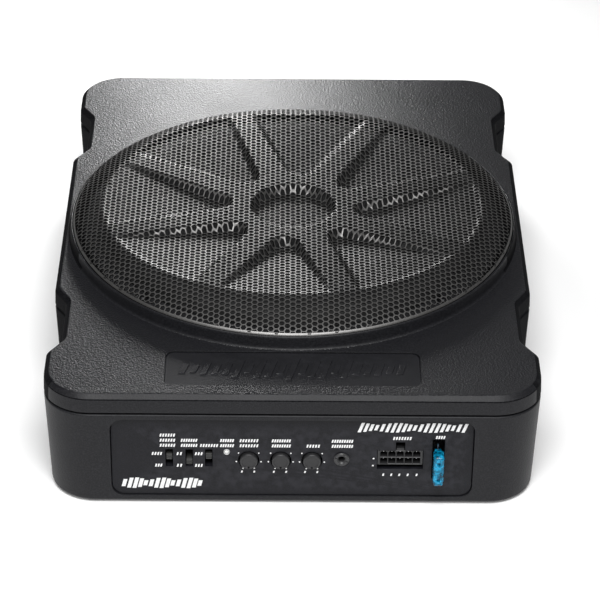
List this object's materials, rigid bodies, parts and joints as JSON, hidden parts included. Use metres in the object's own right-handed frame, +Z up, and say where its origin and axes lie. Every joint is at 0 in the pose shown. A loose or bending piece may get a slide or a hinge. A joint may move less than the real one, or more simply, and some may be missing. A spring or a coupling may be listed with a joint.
{
  "type": "powered car subwoofer",
  "caption": "Flat under-seat bass speaker: a cast two-part case with a round star-pressed mesh grille on top and an amplifier control panel on the front edge.",
  "frame": {"origin": "on the supporting surface under the centre of the case, level with the undersides of the rubber feet", "axes": "+Z up out of the grille, -Y out of the control panel, +X to the right when facing the panel"},
  "size_m": [0.266, 0.3659, 0.0872],
  "materials": {
    "cast_black": "fine textured black powder coat",
    "panel_black": "satin black panel",
    "mesh_black": "black coated perforated steel",
    "rubber_black": "matt black rubber",
    "paper_black": "pressed fibre cone",
    "spider_tan": "resin-treated cloth",
    "copper": "enamelled copper wire",
    "ferrite": "sintered ferrite",
    "plated_steel": "zinc-plated steel",
    "aluminium": "bare aluminium",
    "board_green": "solder-masked fibreglass",
    "plastic_black": "black moulded plastic",
    "fuse_blue": "translucent blue plastic",
    "lens_clear": "frosted clear lens",
    "foil_sleeve": "shrunk plastic sleeve"
  },
  "bodies": {
    "enclosure": {"badge_plate": "cast_black", "basket": "cast_black", "capacitor_1": "foil_sleeve", "capacitor_2": "foil_sleeve", "capacitor_3": "foil_sleeve", "circuit_board": "board_green", "control_panel": "panel_black", "foot_1": "rubber_black", "foot_2": "rubber_black", "foot_3": "rubber_black", "foot_4": "rubber_black", "fuse_holder": "plastic_black", "grille": "mesh_black", "heatsink": "aluminium", "housing_gasket": "rubber_black", "housing_screw_1": "plated_steel", "housing_screw_2": "plated_steel", "housing_screw_3": "plated_steel", "housing_screw_4": "plated_steel", "indicator_led": "lens_clear", "lower_housing": "cast_black", "magnet": "ferrite", "pot_body_1": "plastic_black", "pot_body_2": "plastic_black", "pot_body_3": "plastic_black", "power_connector": "plastic_black", "remote_jack": "plastic_black", "speaker_gasket": "rubber_black", "speaker_screw_1": "plated_steel", "speaker_screw_2": "plated_steel", "speaker_screw_3": "plated_steel", "speaker_screw_4": "plated_steel", "spider": "spider_tan", "surround": "rubber_black", "switch_body_1": "plastic_black", "switch_body_2": "plastic_black", "switch_body_3": "plastic_black", "terminal_block": "plastic_black", "top_plate": "plated_steel", "toroid": "copper", "transistor_1": "plastic_black", "transistor_2": "plastic_black", "transistor_3": "plastic_black", "transistor_4": "plastic_black", "upper_housing": "cast_black", "yoke": "plated_steel"},
    "cone_assembly": {"cone": "paper_black", "dust_cap": "paper_black", "coil_former": "aluminium", "voice_coil": "copper"},
    "knob_bass_boost": {"knob_1": "plastic_black"},
    "knob_crossover": {"knob_2": "plastic_black"},
    "knob_gain": {"knob_3": "plastic_black"},
    "turn_on_slider": {"switch_slider_1": "plastic_black"},
    "input_level_slider": {"switch_slider_2": "plastic_black"},
    "phase_slider": {"switch_slider_3": "plastic_black"},
    "fuse": {"fuse_body": "fuse_blue", "fuse_blade_1": "plated_steel", "fuse_blade_2": "plated_steel"}
  },
  "joints": [
    {"name": "cone_travel", "type": "slide", "parent": "enclosure", "child": "cone_assembly", "axis": [0, 0, 1], "range_m": [-0.006, 0.006], "stiffness_N_per_m": 1400, "deforming": ["surround", "spider"]},
    {"name": "bass_boost_turn", "type": "hinge", "parent": "enclosure", "child": "knob_bass_boost", "pos_m": [-0.0232, -0.1755, 0.0283], "axis": [0, 1, 0], "range_deg": [-150, 150]},
    {"name": "crossover_turn", "type": "hinge", "parent": "enclosure", "child": "knob_crossover", "pos_m": [-0.0061, -0.1755, 0.0283], "axis": [0, 1, 0], "range_deg": [-150, 150]},
    {"name": "gain_turn", "type": "hinge", "parent": "enclosure", "child": "knob_gain", "pos_m": [0.0106, -0.1755, 0.0283], "axis": [0, 1, 0], "range_deg": [-150, 150]},
    {"name": "turn_on_slide", "type": "slide", "parent": "enclosure", "child": "turn_on_slider", "axis": [0, 0, 1], "range_m": [-0.0032, 0.0032]},
    {"name": "input_level_slide", "type": "slide", "parent": "enclosure", "child": "input_level_slider", "axis": [0, 0, 1], "range_m": [0, 0.0064]},
    {"name": "phase_slide", "type": "slide", "parent": "enclosure", "child": "phase_slider", "axis": [0, 0, 1], "range_m": [-0.0036, 0]},
    {"name": "fuse_pull", "type": "slide", "parent": "enclosure", "child": "fuse", "axis": [0, -1, 0], "range_m": [0, 0.02]}
  ]
}
